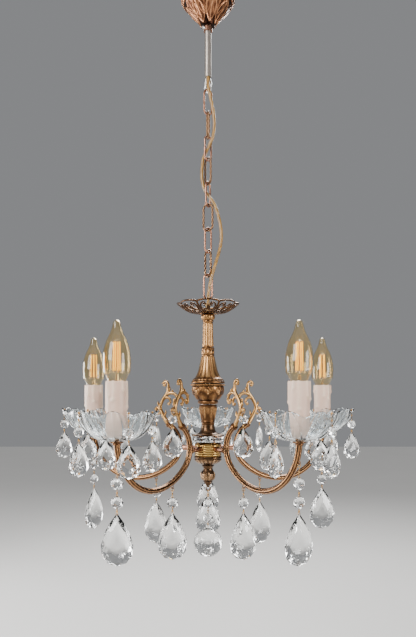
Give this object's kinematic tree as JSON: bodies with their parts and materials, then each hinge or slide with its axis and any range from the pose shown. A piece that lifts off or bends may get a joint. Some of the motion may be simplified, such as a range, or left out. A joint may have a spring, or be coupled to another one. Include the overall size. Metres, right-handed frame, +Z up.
{
  "type": "chandelier",
  "caption": "Small bronze and cut-glass candle chandelier with curved arms, glass pans and free-hanging drops, hung by a canopy, hook and chain.",
  "frame": {"origin": "the point on the ceiling above the hanger's eye, level with the canopy's rim", "axes": "+Z up along the column's axis, -Y towards the front, between two arms' candles"},
  "size_m": [0.4682, 0.4409, 0.8462],
  "materials": {
    "steel": "nickel plated wire",
    "sleeve_steel": "satin",
    "terminal_plastic": "natural",
    "flex_gold": "satin gold flex",
    "copper_bronze": "antique copper bronze, lacquered",
    "copper_wire": "pink copper",
    "antique_brass": "antique brass, rubbed high spots",
    "polished_brass": "polished",
    "gilt_brass": "gilt casting",
    "clear_glass": "pressed",
    "cut_crystal": "cut and polished",
    "bulb_glass": "light amber",
    "lead_plastic": "natural",
    "lampholder_plastic": "moulded",
    "wax_plastic": "wax drip"
  },
  "bodies": {
    "hanger": {"hanger_hook": "steel", "hanger_sleeve": "sleeve_steel", "terminal_block": "terminal_plastic", "supply_lead": "flex_gold", "flex_top": "flex_gold"},
    "canopy": {"canopy": "copper_bronze", "canopy_grip": "copper_bronze"},
    "grip_screw": {"grip_screw": "steel"},
    "chain": {"smooth_links": "copper_wire", "twisted_links": "antique_brass", "supply_flex": "flex_gold"},
    "chandelier": {"top_loop": "antique_brass", "top_dish": "antique_brass", "column_shaft": "antique_brass", "column_cup": "antique_brass", "column_stem": "antique_brass", "stem_foot": "antique_brass", "glass_disc": "clear_glass", "hub_ring": "polished_brass", "hub_cap": "antique_brass", "finial": "antique_brass", "tie_rod": "steel", "arm_nipples": "polished_brass", "arm_leads": "lead_plastic", "arm_scrolls": "gilt_brass", "lampholders": "lampholder_plastic", "candle_sleeves": "wax_plastic", "pan_drops": "cut_crystal", "arm_1": "copper_bronze", "glass_pan_1": "clear_glass", "arm_2": "copper_bronze", "glass_pan_2": "clear_glass", "arm_3": "copper_bronze", "glass_pan_3": "clear_glass", "arm_4": "copper_bronze", "glass_pan_4": "clear_glass", "arm_5": "copper_bronze", "glass_pan_5": "clear_glass"},
    "bulb_1": {"bulb_1": "bulb_glass"},
    "outer_drop_1": {"outer_drop_1": "cut_crystal"},
    "mid_drop_1": {"mid_drop_1": "cut_crystal"},
    "crown_drop_1": {"crown_drop_1": "cut_crystal"},
    "bulb_2": {"bulb_2": "bulb_glass"},
    "outer_drop_2": {"outer_drop_2": "cut_crystal"},
    "mid_drop_2": {"mid_drop_2": "cut_crystal"},
    "crown_drop_2": {"crown_drop_2": "cut_crystal"},
    "bulb_3": {"bulb_3": "bulb_glass"},
    "outer_drop_3": {"outer_drop_3": "cut_crystal"},
    "mid_drop_3": {"mid_drop_3": "cut_crystal"},
    "crown_drop_3": {"crown_drop_3": "cut_crystal"},
    "bulb_4": {"bulb_4": "bulb_glass"},
    "outer_drop_4": {"outer_drop_4": "cut_crystal"},
    "mid_drop_4": {"mid_drop_4": "cut_crystal"},
    "crown_drop_4": {"crown_drop_4": "cut_crystal"},
    "bulb_5": {"bulb_5": "bulb_glass"},
    "outer_drop_5": {"outer_drop_5": "cut_crystal"},
    "mid_drop_5": {"mid_drop_5": "cut_crystal"},
    "crown_drop_5": {"crown_drop_5": "cut_crystal"},
    "center_drop": {"center_drop": "cut_crystal"}
  },
  "joints": [
    {"name": "canopy_slide", "type": "slide", "parent": "hanger", "child": "canopy", "axis": [0, 0, -1], "range_m": [0, 0.055]},
    {"name": "grip_screw_turn", "type": "hinge", "parent": "canopy", "child": "grip_screw", "pos_m": [0, 0, -0.0732], "axis": [-0.8192, -0.5736, 0], "continuous": true},
    {"name": "hook_sway", "type": "hinge", "parent": "hanger", "child": "chain", "pos_m": [0, 0, -0.1646], "axis": [0.5736, -0.8192, 0], "range_deg": [-6, 6]},
    {"name": "loop_sway", "type": "hinge", "parent": "chain", "child": "chandelier", "pos_m": [0, 0, -0.46795], "axis": [1, 0, 0], "range_deg": [-4.5, 4.5]},
    {"name": "bulb_1_lift", "type": "slide", "parent": "chandelier", "child": "bulb_1", "axis": [0, 0, 1], "range_m": [0, 0.03]},
    {"name": "bulb_2_lift", "type": "slide", "parent": "chandelier", "child": "bulb_2", "axis": [0, 0, 1], "range_m": [0, 0.03]},
    {"name": "bulb_3_lift", "type": "slide", "parent": "chandelier", "child": "bulb_3", "axis": [0, 0, 1], "range_m": [0, 0.03]},
    {"name": "bulb_4_lift", "type": "slide", "parent": "chandelier", "child": "bulb_4", "axis": [0, 0, 1], "range_m": [0, 0.03]},
    {"name": "bulb_5_lift", "type": "slide", "parent": "chandelier", "child": "bulb_5", "axis": [0, 0, 1], "range_m": [0, 0.03]},
    {"name": "outer_drop_1_swing", "type": "hinge", "parent": "chandelier", "child": "outer_drop_1", "pos_m": [0.11021, -0.15169, -0.6942], "axis": [0.5878, -0.809, 0], "range_deg": [-25, 25]},
    {"name": "mid_drop_1_swing", "type": "hinge", "parent": "chandelier", "child": "mid_drop_1", "pos_m": [0.0482, -0.06634, -0.7364], "axis": [0.5878, -0.809, 0], "range_deg": [-20, 20]},
    {"name": "crown_drop_1_swing", "type": "hinge", "parent": "chandelier", "child": "crown_drop_1", "pos_m": [0.0479, -0.06593, -0.6312], "axis": [0.5878, -0.809, 0], "range_deg": [-15, 15]},
    {"name": "outer_drop_2_swing", "type": "hinge", "parent": "chandelier", "child": "outer_drop_2", "pos_m": [-0.11021, -0.15169, -0.6942], "axis": [-0.5878, -0.809, 0], "range_deg": [-25, 25]},
    {"name": "mid_drop_2_swing", "type": "hinge", "parent": "chandelier", "child": "mid_drop_2", "pos_m": [-0.0482, -0.06634, -0.7364], "axis": [-0.5878, -0.809, 0], "range_deg": [-20, 20]},
    {"name": "crown_drop_2_swing", "type": "hinge", "parent": "chandelier", "child": "crown_drop_2", "pos_m": [-0.0479, -0.06593, -0.6312], "axis": [-0.5878, -0.809, 0], "range_deg": [-15, 15]},
    {"name": "outer_drop_3_swing", "type": "hinge", "parent": "chandelier", "child": "outer_drop_3", "pos_m": [-0.17832, 0.05794, -0.6942], "axis": [-0.9511, 0.309, 0], "range_deg": [-25, 25]},
    {"name": "mid_drop_3_swing", "type": "hinge", "parent": "chandelier", "child": "mid_drop_3", "pos_m": [-0.07799, 0.02534, -0.7364], "axis": [-0.9511, 0.309, 0], "range_deg": [-20, 20]},
    {"name": "crown_drop_3_swing", "type": "hinge", "parent": "chandelier", "child": "crown_drop_3", "pos_m": [-0.07751, 0.02518, -0.6312], "axis": [-0.9511, 0.309, 0], "range_deg": [-15, 15]},
    {"name": "outer_drop_4_swing", "type": "hinge", "parent": "chandelier", "child": "outer_drop_4", "pos_m": [0, 0.1875, -0.6942], "axis": [0, 1, 0], "range_deg": [-25, 25]},
    {"name": "mid_drop_4_swing", "type": "hinge", "parent": "chandelier", "child": "mid_drop_4", "pos_m": [0, 0.082, -0.7364], "axis": [0, 1, 0], "range_deg": [-20, 20]},
    {"name": "crown_drop_4_swing", "type": "hinge", "parent": "chandelier", "child": "crown_drop_4", "pos_m": [0, 0.0815, -0.6312], "axis": [0, 1, 0], "range_deg": [-15, 15]},
    {"name": "outer_drop_5_swing", "type": "hinge", "parent": "chandelier", "child": "outer_drop_5", "pos_m": [0.17832, 0.05794, -0.6942], "axis": [0.9511, 0.309, 0], "range_deg": [-25, 25]},
    {"name": "mid_drop_5_swing", "type": "hinge", "parent": "chandelier", "child": "mid_drop_5", "pos_m": [0.07799, 0.02534, -0.7364], "axis": [0.9511, 0.309, 0], "range_deg": [-20, 20]},
    {"name": "crown_drop_5_swing", "type": "hinge", "parent": "chandelier", "child": "crown_drop_5", "pos_m": [0.07751, 0.02518, -0.6312], "axis": [0.9511, 0.309, 0], "range_deg": [-15, 15]},
    {"name": "center_drop_swing", "type": "hinge", "parent": "chandelier", "child": "center_drop", "pos_m": [0, 0, -0.7495], "axis": [1, 0, 0], "range_deg": [-20, 20]}
  ]
}
